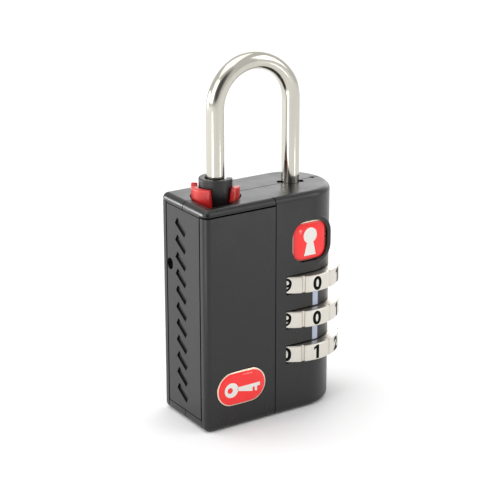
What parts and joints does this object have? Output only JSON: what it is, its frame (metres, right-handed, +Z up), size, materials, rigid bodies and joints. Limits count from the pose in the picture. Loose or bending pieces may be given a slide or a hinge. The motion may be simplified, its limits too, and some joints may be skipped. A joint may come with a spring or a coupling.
{
  "type": "luggage combination padlock",
  "caption": "Small padlock with number wheels, a sprung steel shackle, a keyed release with a red pop-up indicator, and a reset pin in its side.",
  "frame": {"origin": "under the middle of the lock, on the plane of its flat base", "axes": "+Z up along the shackle legs, -Y out of the numbered front, +X towards the dial end"},
  "size_m": [0.0314, 0.0182, 0.0653],
  "materials": {
    "case": "satin",
    "collar_black": "satin",
    "shackle_steel": "polished",
    "dial": "satin",
    "indicator_red": "gloss",
    "badge_red": "gloss",
    "badge_metal": "satin",
    "index": "matte",
    "steel": "satin",
    "spring_steel": "satin",
    "brass": "satin"
  },
  "bodies": {
    "case": {"front_housing": "case", "rear_housing": "case", "front_cover": "case", "rear_cover": "case", "side_plate": "case", "top_pin": "steel", "assembly_pins": "steel", "index_marks": "index", "dial_badge_plate": "badge_metal", "dial_badge_dome": "badge_red", "key_badge_plate": "badge_metal", "key_badge_dome": "badge_red", "stop_washer": "steel", "detent_spring": "steel", "key_cylinder_shell": "brass", "shackle_spring": "spring_steel", "carriage_spring": "spring_steel", "indicator_spring": "spring_steel"},
    "shackle": {"shackle": "shackle_steel"},
    "dial_1": {"dial_1": "dial"},
    "dial_2": {"dial_2": "dial"},
    "dial_3": {"dial_3": "dial"},
    "reset_pin": {"reset_pin": "steel"},
    "carriage": {"reset_carriage": "steel"},
    "sleeve_1": {"sleeve_1": "brass"},
    "sleeve_2": {"sleeve_2": "brass"},
    "sleeve_3": {"sleeve_3": "brass"},
    "key_plug": {"key_plug": "brass", "key_wafers": "brass", "plug_clip": "steel", "drive_shaft": "steel", "toe_collar": "collar_black"},
    "indicator": {"indicator_ring": "indicator_red"}
  },
  "joints": [
    {"name": "shackle_lift", "type": "slide", "parent": "case", "child": "shackle", "axis": [0, 0, 1], "range_m": [0, 0.00655], "deforming": ["shackle_spring"]},
    {"name": "dial_1_turn", "type": "hinge", "parent": "case", "child": "dial_1", "pos_m": [0.0066, 0, 0.0244], "axis": [0, 0, 1], "continuous": true, "deforming": ["detent_spring"]},
    {"name": "dial_2_turn", "type": "hinge", "parent": "case", "child": "dial_2", "pos_m": [0.0066, 0, 0.01785], "axis": [0, 0, 1], "continuous": true, "deforming": ["detent_spring"]},
    {"name": "dial_3_turn", "type": "hinge", "parent": "case", "child": "dial_3", "pos_m": [0.0066, 0, 0.0113], "axis": [0, 0, 1], "continuous": true, "deforming": ["detent_spring"]},
    {"name": "reset_push", "type": "slide", "parent": "case", "child": "reset_pin", "axis": [1, 0, 0], "range_m": [0, 0.0012]},
    {"name": "carriage_shift", "type": "slide", "parent": "case", "child": "carriage", "axis": [0, 0, 1], "range_m": [0, 0.0012], "deforming": ["carriage_spring"]},
    {"name": "sleeve_1_turn", "type": "hinge", "parent": "carriage", "child": "sleeve_1", "pos_m": [0.0066, 0, 0.0244], "axis": [0, 0, 1], "continuous": true},
    {"name": "sleeve_2_turn", "type": "hinge", "parent": "carriage", "child": "sleeve_2", "pos_m": [0.0066, 0, 0.01785], "axis": [0, 0, 1], "continuous": true},
    {"name": "sleeve_3_turn", "type": "hinge", "parent": "carriage", "child": "sleeve_3", "pos_m": [0.0066, 0, 0.0113], "axis": [0, 0, 1], "continuous": true},
    {"name": "key_turn", "type": "hinge", "parent": "case", "child": "key_plug", "pos_m": [-0.009, 0, 0], "axis": [0, 0, 1], "range_deg": [0, 90]},
    {"name": "indicator_slide", "type": "slide", "parent": "case", "child": "indicator", "axis": [0, 0, 1], "range_m": [-0.002, 0], "deforming": ["indicator_spring"]}
  ],
  "couplings": [
    {"joint": "carriage_shift", "follows": "reset_push", "ratio": 1},
    {"joint": "sleeve_1_turn", "follows": "dial_1_turn", "ratio": 1},
    {"joint": "sleeve_2_turn", "follows": "dial_2_turn", "ratio": 1},
    {"joint": "sleeve_3_turn", "follows": "dial_3_turn", "ratio": 1}
  ]
}
